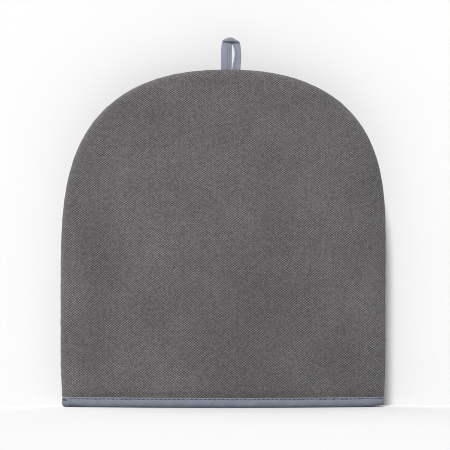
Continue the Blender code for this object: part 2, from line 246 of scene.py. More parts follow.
def wall_surfaces(side, hollows, seed):
    """The points of a wall's outer and inner surface, their places on the flat cloth, and how
    far each lies in a hollow."""
    place, angle, inward, run = wall_layout()
    x, z = place[:, 0], place[:, 1]
    to_arch = arch_height(x - lean(z)) - z
    inside = smooth_step((np.minimum(to_arch, half_width - np.abs(x)) - edge_margin) / edge_fade)
    free = smooth_step((z - held_top) / held_fade)
    sunk = np.zeros(len(x))
    for middle_x, middle_z, wide, high, deep in hollows:
        sunk += deep * np.exp(-(((x - middle_x) / wide) ** 2) - ((z - middle_z) / high) ** 2)
    sunk *= inside
    bumps = broad_bump * unevenness(x, z * 0.7, broad_size, seed)
    bumps += small_bump * unevenness(x, z, small_size, seed + 7)
    drag = drag_depth * unevenness(x, z * 0.2, drag_size, seed + 3)
    drag *= 1 - smooth_step((z - upright_hem) / drag_top)
    pucker = pucker_depth * unevenness(run, 0 * z, pucker_size, seed + 11)
    pucker *= np.exp(-seam_roll * angle / pucker_reach) * smooth_step((math.pi / 2 - angle) / 0.3)
    pinch = hem_pinch(z)
    slot = slot_depth * smooth_step((slot_half - np.abs(x - loop_x)) / slot_end)
    slot *= (z > spring_height) * (1 - smooth_step((to_arch - wall_thickness) / slot_reach))
    roll_out = seam_roll * np.sin(angle)
    dip = dip_depth * np.maximum(0, 1 - roll_out / dip_reach) ** 2 * (1 - pinch / hem_pinch_depth)
    swell = (pucker + drag) * free - pinch
    depth = roll_out + belly(x, z) + bumps * free * inside - sunk + swell * np.sin(angle)
    depth = np.where(angle < seam_edge_angle, slot, np.maximum(depth, slot))
    tuck = hem_pinch_depth * (1 - smooth_step((z - tuck_start) / tuck_reach))
    inset = dip - (swell + pinch - tuck) * np.cos(angle)
    outer = np.stack([x + inset * inward[:, 0], side * depth, z + inset * inward[:, 1]], axis=-1)

    back_off = wall_thickness * np.cos(angle)
    inner_depth = (seam_roll - wall_thickness) * np.sin(angle) + belly(x, z) - sunk
    inner_depth = np.where(angle < seam_edge_angle, slot, np.maximum(inner_depth, slot))
    inner = np.stack([
        x + back_off * inward[:, 0], side * inner_depth, z + back_off * inward[:, 1],
    ], axis=-1)

    flat_cloth = place - inward * (seam_roll * (math.pi / 2 - angle - np.cos(angle)))[:, None]
    picks = pick_rate * flat_cloth[:, 1] + pick_growth * flat_cloth[:, 1] ** 2
    return outer, inner, np.stack([flat_cloth[:, 0], picks], axis=-1), sunk / deepest_hollow


def padded_wall(name, side, hollows, seed):
    """A closed wall of cloth; side is -1 at the front and 1 at the back."""
    outer, inner, cloth, sunk = wall_surfaces(side, hollows, seed)
    faces = wall_faces()
    sides = {pair for face in faces for pair in zip(face, face[1:] + face[:1])}
    count = len(outer)
    closed = list(faces)
    closed += [tuple(corner + count for corner in reversed(face)) for face in faces]
    closed += [
        (end, start, start + count, end + count)
        for start, end in sides if (end, start) not in sides
    ]
    if side > 0:
        closed = [tuple(reversed(face)) for face in closed]
    mesh = bpy.data.meshes.new(name)
    mesh.from_pydata(np.concatenate([outer, inner]).tolist(), [], closed)
    lay_flat(mesh, "cloth", np.tile(cloth, (2, 1)))
    # How deep each point lies in a hollow, which the canvas uses for painted shade.
    sunken = mesh.attributes.new("sunken", "FLOAT", "POINT")
    sunken.data.foreach_set("value", np.tile(sunk, 2).astype(np.float32))
    mesh.shade_smooth()
    mesh.validate()
    return add_object(name, mesh)


def node_of(tree, kind, links=(), **settings):
    """A node with its settings, and sockets or values for its inputs by name or number."""
    node = tree.nodes.new(kind)
    for key, value in settings.items():
        setattr(node, key, value)
    for label, value in links:
        socket = node.inputs[label]
        if isinstance(value, bpy.types.NodeSocket):
            tree.links.new(value, socket)
        else:
            socket.default_value = value
    return node


def calc(tree, operation, *values, clamp=False):
    """One step of arithmetic in a node tree, on sockets or plain numbers."""
    return node_of(
        tree, "ShaderNodeMath", enumerate(values), operation=operation, use_clamp=clamp,
    ).outputs[0]


def product(tree, *values):
    """All the values multiplied together."""
    result = values[0]
    for value in values[1:]:
        result = calc(tree, "MULTIPLY", result, value)
    return result


def blend_colour(tree, share, low, high):
    """A colour between two others."""
    return node_of(
        tree, "ShaderNodeMix", [(0, share), (6, low), (7, high)], data_type="RGBA",
    ).outputs[2]


def new_material(name, roughness):
    """A material with its tree and shader, barely glossy."""
    material = bpy.data.materials.new(name)
    material.use_nodes = True
    shader = material.node_tree.nodes["Principled BSDF"]
    shader.inputs["Roughness"].default_value = roughness
    shader.inputs["Specular IOR Level"].default_value = 0.25
    return material, material.node_tree, shader


def relief(tree, height, shader, distance):
    """Raises the surface's shading by a height between 0 and 1."""
    bump = node_of(tree, "ShaderNodeBump", [("Height", height), ("Distance", distance), ("Strength", 1.0)])
    tree.links.new(bump.outputs["Normal"], shader.inputs["Normal"])


def noise_value(tree, place, scale, detail=2.0):
    """Soft noise between 0 and 1."""
    links = [("Vector", place), ("Scale", scale), ("Detail", detail)]
    return node_of(tree, "ShaderNodeTexNoise", links).outputs["Fac"]


def uv_place(tree, name):
    """The place on a UV map, whole and as its two parts."""
    place = node_of(tree, "ShaderNodeUVMap", uv_map=name).outputs[0]
    parts = node_of(tree, "ShaderNodeSeparateXYZ", [(0, place)]).outputs
    return place, parts[0], parts[1]


def canvas_weave():
    """Plain weave of thick threads: paler warp floats and darker weft floats in a chequer.

    The chequer is the sum of two slanting waves, and each comes and goes in patches.
    """
    thread_wide, thread_high = 0.001372, 0.00109
    dark_float, pale_float = (0.0100, 0.0094, 0.0100, 1), (0.174, 0.165, 0.168, 1)
    slant_patches, counter_patches = 47.0, 61.0
    least_slant, least_counter = 0.25, 0.12
    material, tree, shader = new_material("charcoal canvas", 0.92)
    shader.inputs["Sheen Weight"].default_value = 0.12
    shader.inputs["Sheen Roughness"].default_value = 0.6
    place, across, up = uv_place(tree, "cloth")
    drift = calc(tree, "SUBTRACT", noise_value(tree, place, 55.0), 0.5)
    waver = calc(tree, "SUBTRACT", noise_value(tree, place, 170.0), 0.5)
    warp = calc(tree, "MULTIPLY_ADD", drift, 1.1, calc(tree, "DIVIDE", across, thread_wide))
    weft = calc(tree, "MULTIPLY_ADD", waver, 0.8, calc(tree, "DIVIDE", up, thread_high))
    warp_turn = calc(tree, "MULTIPLY", warp, math.pi)
    weft_turn = calc(tree, "MULTIPLY", weft, math.pi)
    slant = calc(tree, "COSINE", calc(tree, "SUBTRACT", warp_turn, weft_turn))
    counter = calc(tree, "COSINE", calc(tree, "ADD", warp_turn, weft_turn))
    slant_share = calc(tree, "MULTIPLY_ADD", noise_value(tree, place, slant_patches), 1.8, -0.33)
    counter_share = noise_value(tree, place, counter_patches)
    counter_share = calc(tree, "MULTIPLY_ADD", counter_share, 1.9, -0.68)
    slant_part = calc(tree, "MULTIPLY", slant, calc(tree, "MAXIMUM", slant_share, least_slant))
    counter_part = calc(tree, "MULTIPLY", counter, calc(tree, "MAXIMUM", counter_share, least_counter))
    chequer = calc(tree, "ADD", slant_part, counter_part)
    across_warp = calc(tree, "ABSOLUTE", calc(tree, "COSINE", warp_turn))
    across_weft = calc(tree, "ABSOLUTE", calc(tree, "COSINE", weft_turn))
    lift = calc(tree, "MULTIPLY_ADD", chequer, 0.5, 0.5)
    warp_height = calc(tree, "MULTIPLY", across_warp, lift)
    weft_height = calc(tree, "MULTIPLY", across_weft, calc(tree, "SUBTRACT", 1.0, lift))
    height = calc(tree, "MAXIMUM", warp_height, weft_height)
    tone = calc(tree, "MULTIPLY_ADD", chequer, 0.44, 0.5, clamp=True)
    threads = blend_colour(tree, tone, dark_float, pale_float)

    # Long streaks along the warp, a shade of its own for each float, clouds, and painted shade
    # that darkens the cloth in the hollows.
    long_warp = node_of(tree, "ShaderNodeCombineXYZ", [(0, calc(tree, "MULTIPLY", across, 30.0)), (1, up)])
    streaks = noise_value(tree, long_warp.outputs[0], 18.0)
    knot = node_of(tree, "ShaderNodeCombineXYZ", [
        (0, calc(tree, "ROUND", warp)), (1, calc(tree, "ROUND", weft)),
    ])
    each_float = node_of(tree, "ShaderNodeTexWhiteNoise", [("Vector", knot.outputs[0])])
    # Painted shade: the colour darkens where the threads dip between one another.
    yarn = noise_value(tree, place, 900.0, 1.0)
    shade = calc(tree, "MULTIPLY_ADD", calc(tree, "MULTIPLY", height, yarn), 0.5, 0.47)
    shade = calc(tree, "MULTIPLY_ADD", streaks, 0.22, shade)
    shade = calc(tree, "MULTIPLY_ADD", each_float.outputs["Value"], 0.50, shade)
    cloudy = calc(tree, "MULTIPLY_ADD", noise_value(tree, place, 17.0, 1.0), 0.50, 0.75)
    # Painted shade: the colour darkens where the wall lies deep in a hollow.
    sunken = node_of(tree, "ShaderNodeAttribute", attribute_name="sunken")
    painted_hollow_shade = calc(tree, "MULTIPLY_ADD", sunken.outputs["Fac"], -0.17, 0.98)
    colour = node_of(tree, "ShaderNodeVectorMath", [
        (0, threads), ("Scale", product(tree, shade, cloudy, painted_hollow_shade)),
    ], operation="SCALE")
    tree.links.new(colour.outputs[0], shader.inputs["Base Color"])
    relief(tree, height, shader, 0.00022)
    return material


# Soft hollows in each wall: middle x and z, half width, half height and depth.
front_hollows = (
    (-0.116, 0.095, 0.020, 0.085, 0.0022),
    (0.022, 0.066, 0.040, 0.060, 0.0022),
    (0.112, 0.048, 0.017, 0.032, 0.0016),
    (0.060, 0.145, 0.028, 0.040, 0.0010),
    (-0.050, 0.045, 0.020, 0.026, 0.0007),
)
back_hollows = (
    (0.060, 0.130, 0.030, 0.080, 0.0018),
    (-0.070, 0.080, 0.026, 0.055, 0.0014),
    (-0.020, 0.200, 0.035, 0.040, 0.0011),
)
charcoal_canvas = canvas_weave()
front_wall = padded_wall("front_canvas", -1, front_hollows, 2.0)
back_wall = padded_wall("back_canvas", 1, back_hollows, 31.0)
for wall, node in ((front_wall, "front_wall"), (back_wall, "back_wall")):
    wall.data.materials.append(charcoal_canvas)
    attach(wall, "root")
    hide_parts(node)


# Hem binding: one strip of blue-grey bias tape with both edges pressed under, folded over
# the cut edge of the walls all the way round. Its legs are held by a line of topstitching
# close below the upper fold, which draws dimples into the tape.
tape_layer = 0.00042
stitch_height = 0.0077
stitch_pitch = 0.0041
groove_width = 0.00075
hem_draw_in = 0.0021
tip_steps, straight_steps = 12, 150
outer_leg, turned_leg, turned_foot = 0.00269, 0.00223, 0.0015
bend_top, bend_radius = 0.00271, 0.0025


def hem_outline(inset):
    """The hem's outline near the floor, moved inwards, as points all the way round."""
    half = half_width - hem_draw_in
    tip = np.radians(np.linspace(0, 90, tip_steps, endpoint=False))
    straight = np.linspace(half - seam_roll, -(half - seam_roll), straight_steps)
    x = np.concatenate([half - seam_roll * (1 - np.cos(tip)), straight])
    x = np.concatenate([x, -x[tip_steps - 1::-1]])
    roll = np.concatenate([np.sin(tip), np.ones(straight_steps), np.sin(tip[::-1])])
    y = seam_roll * roll + belly(x, np.full(len(x), upright_hem))
    points = np.stack([np.concatenate([x, x[::-1]]), np.concatenate([-y, y[::-1]])], axis=-1)
    along = np.roll(points, -1, axis=0) - np.roll(points, 1, axis=0)
    along /= np.linalg.norm(along, axis=1)[:, None]
    inward = np.stack([along[:, 1], -along[:, 0]], axis=-1)
    if (inward * points).sum() > 0:
        inward = -inward
    return points + inward * inset


def path_curve(name, points, closed):
    """A curve of straight steps through points."""
    curve = bpy.data.curves.new(name, "CURVE")
    curve.dimensions = "3D"
    spline = curve.splines.new("POLY")
    spline.points.add(len(points) - 1)
    spline.points.foreach_set("co", np.c_[points, np.ones(len(points))].ravel())
    spline.use_cyclic_u = closed
    return add_object(name, curve)


def strip_outline(line, thickness):
    """The outline of a thin strip that follows a line of points in the plane."""
    line = np.array(line)
    ahead = np.gradient(line, axis=0)
    ahead /= np.linalg.norm(ahead, axis=1)[:, None]
    beside = np.stack([-ahead[:, 1], ahead[:, 0]], axis=-1) * thickness / 2
    return np.concatenate([line + beside, (line - beside)[::-1]])


def arc(middle_x, middle_y, radius, start, end, steps):
    """Points on an arc between two angles in degrees."""
    turn = np.radians(np.linspace(start, end, steps))
    return [(middle_x + radius * math.cos(t), middle_y + radius * math.sin(t)) for t in turn]


def run_between(start, end, steps):
    """Points evenly spaced between two others, without these two."""
    return [tuple(p) for p in np.linspace(start, end, steps)[1:-1]]


def both_legs(leg):
    """The outline of a strip that runs down a leg, under the hem and up the other side."""
    other = [(-x, z) for x, z in reversed(leg)]
    return strip_outline(leg + run_between(leg[-1], other[0], 5) + other, tape_layer)


def binding_section():
    """The folded tape cut across: turned edge, top fold, leg, bottom fold, and back again."""
    fold = (outer_leg - turned_leg) / 2
    top = binding_height - tape_layer / 2 - fold
    leg = [(turned_leg, turned_foot)] + run_between((turned_leg, turned_foot), (turned_leg, top), 10)
    leg += arc(turned_leg + fold, top, fold, 180, 0, 7)
    leg += run_between((outer_leg, top), (outer_leg, bend_top), 14)
    leg += arc(outer_leg - bend_radius, bend_top, bend_radius, 0, -90, 9)
    return both_legs(leg)


def new_tree(name, inputs):
    """A geometry tree with named inputs for its sizes."""
    tree = bpy.data.node_groups.new(name, "GeometryNodeTree")
    tree.interface.new_socket("Geometry", in_out="INPUT", socket_type="NodeSocketGeometry")
    for label, kind in inputs:
        tree.interface.new_socket(label, in_out="INPUT", socket_type=kind)
    tree.interface.new_socket("Geometry", in_out="OUTPUT", socket_type="NodeSocketGeometry")
    return tree, tree.nodes.new("NodeGroupInput"), tree.nodes.new("NodeGroupOutput")


def tree_result(name, base, tree, values):
    """The plain mesh that a geometry tree makes from a base object."""
    modifier = base.modifiers.new(tree.name, "NODES")
    modifier.node_group = tree
    for item in tree.interface.items_tree:
        if item.in_out == "INPUT" and item.name in values:
            modifier[item.identifier] = values[item.name]
    graph = bpy.context.evaluated_depsgraph_get()
    graph.update()
    mesh = bpy.data.meshes.new_from_object(base.evaluated_get(graph))
    mesh.name = name
    bpy.data.objects.remove(base)
    return add_object(name, mesh)


def finish_tree(tree, last, material, end):
    """Smooth shading, real geometry and the material at the end of a tree."""
    smooth = node_of(tree, "GeometryNodeSetShadeSmooth", [("Geometry", last.outputs[0])])
    real = node_of(tree, "GeometryNodeRealizeInstances", [("Geometry", smooth.outputs[0])])
    covered = node_of(
        tree, "GeometryNodeSetMaterial", [("Geometry", real.outputs[0]), ("Material", material)],
    )
    tree.links.new(covered.outputs[0], end.inputs[0])


def stand_out(tree, given, run, height, waves):
    """How far a leg of the tape stands out: its ripple and bulge, less the stitched groove."""
    from_line = calc(tree, "SUBTRACT", height, given["Stitch Height"])
    from_line = calc(tree, "DIVIDE", from_line, groove_width)
    groove = calc(tree, "EXPONENT", product(tree, from_line, from_line, -1.0))
    stitches_on = calc(tree, "DIVIDE", run, given["Stitch Pitch"])
    beat = calc(tree, "COSINE", calc(tree, "MULTIPLY", stitches_on, math.tau))
    draw = product(tree, groove, calc(tree, "MULTIPLY_ADD", beat, 0.35, 0.65), given["Dimple"])
    ripple_top, bulge_top = 0.0098, 0.0072
    below = calc(tree, "POWER", calc(tree, "DIVIDE", height, ripple_top), 3.0)
    ripple = product(tree, waves, given["Ripple"], calc(tree, "SUBTRACT", 1.0, below))
    bulge = calc(tree, "SINE", calc(tree, "MULTIPLY", calc(tree, "DIVIDE", height, bulge_top), math.pi))
    bulge = calc(tree, "MULTIPLY", calc(tree, "MAXIMUM", bulge, 0.0), given["Puff"])
    return calc(tree, "SUBTRACT", calc(tree, "ADD", ripple, bulge), draw)


def stand_up(tree, given, x, to_top, waves):
    """How far the tape lies above a level course: its lower edge next to the lap and at the
    right corner, and its upper edge in small waves."""
    lap_x, lap_reach = -0.1405, 0.011
    from_lap = calc(tree, "DIVIDE", calc(tree, "SUBTRACT", x, lap_x), lap_reach)
    near_lap = calc(tree, "EXPONENT", product(tree, from_lap, from_lap, -1.0))
    lift = calc(tree, "MULTIPLY", near_lap, given["Left Lift"])
    right_start, right_corner = 0.126, 0.149
    right = node_of(tree, "ShaderNodeMapRange", [
        ("Value", x), ("From Min", right_start), ("From Max", right_corner),
    ], interpolation_type="SMOOTHSTEP")
    lift = calc(tree, "MULTIPLY_ADD", right.outputs[0], given["Right Lift"], lift)
    lift = calc(tree, "MULTIPLY", lift, calc(tree, "SUBTRACT", 1.0, to_top))
    return calc(tree, "ADD", lift, product(tree, waves, given["Wander"], to_top))


def binding_tree():
    """Sweeps the folded section along the hem and draws the stitched line into it."""
    tree, start, end = new_tree("folded binding", (
        ("Section", "NodeSocketObject"), ("Fill Caps", "NodeSocketBool"), ("Tape", "NodeSocketMaterial"),
        *((label, "NodeSocketFloat") for label in (
            "Step", "Stitch Height", "Stitch Pitch", "Dimple", "Ripple", "Puff", "Wander",
            "Right Lift", "Left Lift",
        )),
    ))
    given = start.outputs
    upright = node_of(tree, "GeometryNodeSetCurveNormal", [("Curve", given["Geometry"])], mode="Z_UP")
    even = node_of(
        tree, "GeometryNodeResampleCurve",
        [("Curve", upright.outputs[0]), ("Length", given["Step"])], mode="LENGTH",
    )
    along = node_of(tree, "GeometryNodeSplineParameter")
    sideways = node_of(tree, "GeometryNodeInputNormal")
    marked = node_of(tree, "GeometryNodeCaptureAttribute", [("Geometry", even.outputs[0])])
    marked.capture_items.new("FLOAT", "run")
    marked.capture_items.new("VECTOR", "sideways")
    tree.links.new(along.outputs["Length"], marked.inputs["run"])
    tree.links.new(sideways.outputs[0], marked.inputs["sideways"])
    section = node_of(tree, "GeometryNodeObjectInfo", [("Object", given["Section"])])
    around = node_of(tree, "GeometryNodeCaptureAttribute", [("Geometry", section.outputs["Geometry"])])
    around.capture_items.new("FLOAT", "around")
    around.capture_items.new("FLOAT", "leg")
    place = node_of(tree, "GeometryNodeInputPosition")
    split = node_of(tree, "ShaderNodeSeparateXYZ", [(0, place.outputs[0])])
    full_leg = 0.0016  # beyond this distance from the middle a point is wholly on one leg
    leg = calc(tree, "DIVIDE", split.outputs["X"], full_leg)
    leg = calc(tree, "MAXIMUM", calc(tree, "MINIMUM", leg, 1.0), -1.0)
    tree.links.new(along.outputs["Length"], around.inputs["around"])
    tree.links.new(leg, around.inputs["leg"])
    swept = node_of(
        tree, "GeometryNodeCurveToMesh",
        [("Curve", marked.outputs["Geometry"]), ("Profile Curve", around.outputs["Geometry"])],
    )
    tree.links.new(given["Fill Caps"], swept.inputs["Fill Caps"])
    height = split.outputs["Z"]
    run = marked.outputs["run"]
    slanted = node_of(tree, "ShaderNodeCombineXYZ", [
        (0, calc(tree, "MULTIPLY_ADD", height, 0.7, run)), (1, calc(tree, "MULTIPLY", height, 0.5)),
    ])
    waves = calc(tree, "SUBTRACT", noise_value(tree, slanted.outputs[0], 210.0, 1.5), 0.5)
    shift = stand_out(tree, given, run, height, waves)
    shift = calc(tree, "MULTIPLY", shift, around.outputs["leg"])
    outwards = node_of(
        tree, "ShaderNodeVectorMath",
        [(0, marked.outputs["sideways"]), ("Scale", shift)], operation="SCALE",
    )
    to_top = calc(tree, "DIVIDE", height, binding_height)
    upwards = node_of(tree, "ShaderNodeCombineXYZ", [
        (2, stand_up(tree, given, split.outputs["X"], to_top, waves)),
    ])
    offset = node_of(tree, "ShaderNodeVectorMath", [(0, outwards.outputs[0]), (1, upwards.outputs[0])])
    moved = node_of(
        tree, "GeometryNodeSetPosition",
        [("Geometry", swept.outputs[0]), ("Offset", offset.outputs[0])],
    )
    pair = node_of(tree, "ShaderNodeCombineXYZ", [(0, run), (1, around.outputs["around"])])
    stored = node_of(
        tree, "GeometryNodeStoreNamedAttribute",
        [("Geometry", moved.outputs[0]), ("Name", "tape"), ("Value", pair.outputs[0])],
        data_type="FLOAT2", domain="CORNER",
    )
    risen = node_of(
        tree, "GeometryNodeStoreNamedAttribute",
        [("Geometry", stored.outputs[0]), ("Name", "rise"), ("Value", to_top)],
        data_type="FLOAT", domain="POINT",
    )
    finish_tree(tree, risen, given["Tape"], end)
    return tree


def tape_cloth(name, low, high, foot_shade):
    """Fine blue-grey cotton, cut on the bias, so that its threads run at a slant.

    It has a painted highlight on the top fold; its last argument sets the painted shade near the floor.
    """
    material, tree, shader = new_material(name, 0.85)
    shader.inputs["Sheen Weight"].default_value = 0.10
    place, along, across = uv_place(tree, "tape")
    thread = 0.00034
    waves = []
    for operation in ("ADD", "SUBTRACT"):
        turns = calc(tree, "DIVIDE", calc(tree, operation, along, across), thread)
        waves.append(calc(tree, "COSINE", calc(tree, "MULTIPLY", turns, math.pi)))
    weave = product(tree, *waves)
    worn = noise_value(tree, place, 130.0, 3.0)
    tone = calc(tree, "MULTIPLY_ADD", weave, 0.12, worn)
    rise = node_of(tree, "ShaderNodeAttribute", attribute_name="rise")
    # Painted light: a highlight along the top fold, and painted shade towards the floor.
    bands = []
    for label, start, end in (("painted top fold highlight", 0.90, 0.99), ("painted foot shade", 0.62, 0.14)):
        band = node_of(tree, "ShaderNodeMapRange", [
            ("Value", rise.outputs["Fac"]), ("From Min", start), ("From Max", end),
        ], interpolation_type="SMOOTHSTEP", label=label)
        bands.append(band.outputs[0])
    tone = calc(tree, "MULTIPLY_ADD", bands[0], 0.55, tone)
    tone = calc(tree, "MULTIPLY_ADD", bands[1], foot_shade, tone)
    tree.links.new(blend_colour(tree, tone, low, high), shader.inputs["Base Color"])
    relief(tree, calc(tree, "ABSOLUTE", weave), shader, 0.00006)
    return material


bias_tape = tape_cloth("blue-grey bias tape", (0.118, 0.130, 0.167, 1), (0.200, 0.211, 0.256, 1), -0.45)
sweep = binding_tree()


def swept_tape(name, middle, closed, section, sizes):
    """Folded tape along a path near the floor; the tree lays the section's y axis downwards."""
    flat = section[::-1] * (1, -1)
    section_curve = path_curve(name + " section", np.c_[flat, np.zeros(len(flat))], True)
    base = path_curve(name + " path", np.c_[middle, np.zeros(len(middle))], closed)
    values = {"Section": section_curve, "Stitch Height": stitch_height, "Stitch Pitch": stitch_pitch}
    piece = tree_result(name, base, sweep, {**values, "Tape": bias_tape, **sizes})
    bpy.data.objects.remove(section_curve)
    return piece


hem_middle = hem_outline((wall_thickness + hem_pinch_depth) / 2)
binding = swept_tape("bound_hem", hem_middle, True, binding_section(), {
    "Step": 0.0015, "Dimple": 0.00070, "Ripple": 0.00060, "Puff": 0.00030,
    "Wander": 0.0009, "Left Lift": 0.0007, "Right Lift": 0.0013,
})


def lap_section():
    """The tape's own end, turned under and wrapped round the strip's start."""
    outer, upper, lower, bend, radius = 0.00316, 0.0088, 0.0030, 0.00311, 0.0029
    leg = [(outer, binding_height - 0.0002)] + run_between((outer, upper), (outer, lower), 10)
    return both_legs(leg + arc(outer - radius, bend, radius, 0, -90, 9))


left_tip = int(np.argmin(hem_middle[:, 0]))
near_tip = hem_middle[left_tip - 30:left_tip + 30]
lap_end_x, lap_end_y = -0.1395, 0.0022
lap_middle = near_tip[(near_tip[:, 0] < lap_end_x) & (near_tip[:, 1] < lap_end_y)]
lap = swept_tape("binding_end", lap_middle, False, lap_section(), {
    "Step": 0.0007, "Fill Caps": True, "Dimple": 0.00030, "Ripple": 0.00030, "Puff": 0.00030,
    "Wander": 0.0003, "Left Lift": 0.0, "Right Lift": 0.0,
})


# Topstitching: a dark thread that goes through both legs of the binding, sunk into its
# dimples, outside and inside. It starts with a few close stitches on the lap at the left.
def stitch_tree():
    """Rounded stitches laid one after another along a path."""
    tree, start, end = new_tree("stitches", (
        ("Pitch", "NodeSocketFloat"), ("Length", "NodeSocketFloat"), ("Thickness", "NodeSocketFloat"),
        ("Wander", "NodeSocketFloat"), ("Seed", "NodeSocketInt"), ("Thread", "NodeSocketMaterial"),
    ))
    given = start.outputs
    points = node_of(
        tree, "GeometryNodeCurveToPoints",
        [("Curve", given["Geometry"]), ("Length", given["Pitch"])], mode="LENGTH",
    )
    turned = node_of(
        tree, "FunctionNodeAlignRotationToVector", [("Vector", points.outputs["Tangent"])], axis="X",
    )
    drift = node_of(tree, "FunctionNodeRandomValue", [
        (0, (-1, -1, -1)), (1, (1, 1, 1)), ("Seed", given["Seed"]),
    ], data_type="FLOAT_VECTOR")
    drift = node_of(
        tree, "ShaderNodeVectorMath", [(0, drift.outputs[0]), ("Scale", given["Wander"])],
        operation="SCALE",
    )
    moved = node_of(
        tree, "GeometryNodeSetPosition",
        [("Geometry", points.outputs["Points"]), ("Offset", drift.outputs[0])],
    )
    size = node_of(tree, "ShaderNodeCombineXYZ", [
        (0, calc(tree, "MULTIPLY", given["Length"], 0.5)),
        (1, calc(tree, "MULTIPLY", given["Thickness"], 0.5)),
        (2, calc(tree, "MULTIPLY", given["Thickness"], 0.5)),
    ])
    vary = node_of(tree, "FunctionNodeRandomValue", [
        (2, 0.78), (3, 1.12), ("Seed", calc(tree, "ADD", given["Seed"], 5)),
    ], data_type="FLOAT")
    size = node_of(
        tree, "ShaderNodeVectorMath", [(0, size.outputs[0]), ("Scale", vary.outputs[1])],
        operation="SCALE",
    )
    ball = node_of(tree, "GeometryNodeMeshUVSphere", [("Segments", 10), ("Rings", 6), ("Radius", 1.0)])
    placed = node_of(tree, "GeometryNodeInstanceOnPoints", [
        ("Points", moved.outputs[0]), ("Instance", ball.outputs["Mesh"]),
        ("Rotation", turned.outputs[0]), ("Scale", size.outputs[0]),
    ])
    finish_tree(tree, placed, given["Thread"], end)
    return tree


def thread_material(name, colour):
    """Plain twisted thread of one colour."""
    material, tree, shader = new_material(name, 0.7)
    shader.inputs["Base Color"].default_value = colour
    return material


stitching = stitch_tree()
dark_thread = thread_material("plum grey thread", (0.052, 0.047, 0.075, 1))


def stitch_row(name, points, closed, thread, sizes):
    """A row of stitches along points, as one piece."""
    return tree_result(name, path_curve(name + " path", points, closed), stitching, {
        "Thread": thread, **sizes,
    })


rows = []
for name, inset in (("stitches_outside", 0.00030), ("stitches_inside", 0.00550)):
    line = hem_outline(inset)
    rows.append(stitch_row(
        name, np.c_[line, np.full(len(line), stitch_height)], True, dark_thread,
        {"Pitch": stitch_pitch, "Length": 0.0031, "Thickness": 0.00080, "Wander": 0.00022, "Seed": 4},
    ))
start_spot = stitch_row(
    "stitches_start", [(-0.1476, -0.0060, 0.0070), (-0.1459, -0.0081, 0.0067), (-0.1441, -0.0094, 0.0065)],
    False, dark_thread,
    {"Pitch": 0.0006, "Length": 0.0021, "Thickness": 0.00080, "Wander": 0.00030, "Seed": 9},
)
binding_extras = [lap, start_spot, *rows]
for piece in (binding, *binding_extras):
    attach(piece, "root")
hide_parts("hem_binding")


# Hanging loop: a short strip of the same tape, folded lengthwise into two layers and stitched
# near its open side. It is bent over at the top, so that its outer edge hangs over the front
# like a small hood, and both ends are caught in the top of the arch seam.
loop_place = np.array([loop_x, 0.0, float(arch_height(loop_x - top_lean))])
loop_length, loop_width = 0.068, 0.0085

# Rows from one end to the other: x, y and z of the outer edge and of the inner edge, counted
# from the seam, and how far the fold puffs out between them.
loop_rows = np.array([
    (-0.0088, 0.0000, -0.0035, 0.0008, 0.0000, -0.0035, 0.0000),
    (-0.0090, 0.0000, 0.0020, 0.0009, 0.0000, 0.0020, 0.0000),
    (-0.0091, 0.0000, 0.0110, 0.0010, 0.0002, 0.0110, 0.0003),
    (-0.0089, 0.0003, 0.0190, 0.0010, 0.0004, 0.0190, 0.0003),
    (-0.0082, 0.0006, 0.0244, 0.0013, 0.0008, 0.0252, 0.0000),
    (-0.0076, 0.0000, 0.0262, 0.0000, 0.0020, 0.0276, 0.0008),
    (-0.0062, -0.0009, 0.0260, -0.0006, 0.0034, 0.0276, 0.0016),
    (-0.0033, -0.0012, 0.0258, -0.0004, 0.0042, 0.0274, 0.0023),
    (0.0004, -0.0013, 0.0257, 0.0004, 0.0044, 0.0274, 0.0025),
    (0.0039, -0.0012, 0.0255, 0.0010, 0.0042, 0.0272, 0.0023),
    (0.0068, -0.0009, 0.0251, 0.0015, 0.0034, 0.0272, 0.0016),
    (0.0081, 0.0000, 0.0250, 0.0014, 0.0020, 0.0268, 0.0008),
    (0.0087, 0.0006, 0.0232, 0.0010, 0.0008, 0.0244, 0.0000),
    (0.0095, 0.0003, 0.0180, 0.0032, 0.0004, 0.0180, 0.0003),
    (0.0096, 0.0000, 0.0110, 0.0032, 0.0002, 0.0110, 0.0003),
    (0.0091, 0.0000, 0.0030, 0.0016, 0.0000, 0.0030, 0.0000),
    (0.0088, 0.0000, -0.0035, 0.0013, 0.0000, -0.0035, 0.0000),
])

# The two layers cut across: share of the way from the fold to the open side, and distance
# from the middle in millimetres.
stitched_at = 0.68
fold_side = [(0.0, 0.0), (0.012, -0.30), (0.045, -0.47), (0.10, -0.54), (0.20, -0.57)]
front_layer = fold_side + [
    (0.35, -0.58), (0.50, -0.58), (0.58, -0.56), (0.64, -0.50), (stitched_at, -0.34), (0.72, -0.50),
    (0.79, -0.60), (0.86, -0.60), (0.89, -0.44), (0.885, -0.16), (0.86, 0.04),
]
gap_between = [(0.70, -0.03), (0.50, -0.03), (0.30, -0.03), (0.12, -0.03)]
back_layer = [
    (0.085, 0.0), (0.12, 0.03), (0.30, 0.03), (0.50, 0.04), (0.70, 0.07), (0.84, 0.13),
    (0.93, 0.13), (0.975, 0.17), (1.0, 0.32), (0.985, 0.48), (0.94, 0.57), (0.84, 0.57),
    (0.72, 0.50), (stitched_at, 0.34), (0.64, 0.50), (0.58, 0.56), (0.50, 0.58), (0.35, 0.58),
] + [(share, -lift) for share, lift in reversed(fold_side[1:])]
loop_section = np.array(front_layer + gap_between + back_layer)
in_front = np.arange(len(loop_section)) < len(front_layer) + len(gap_between)


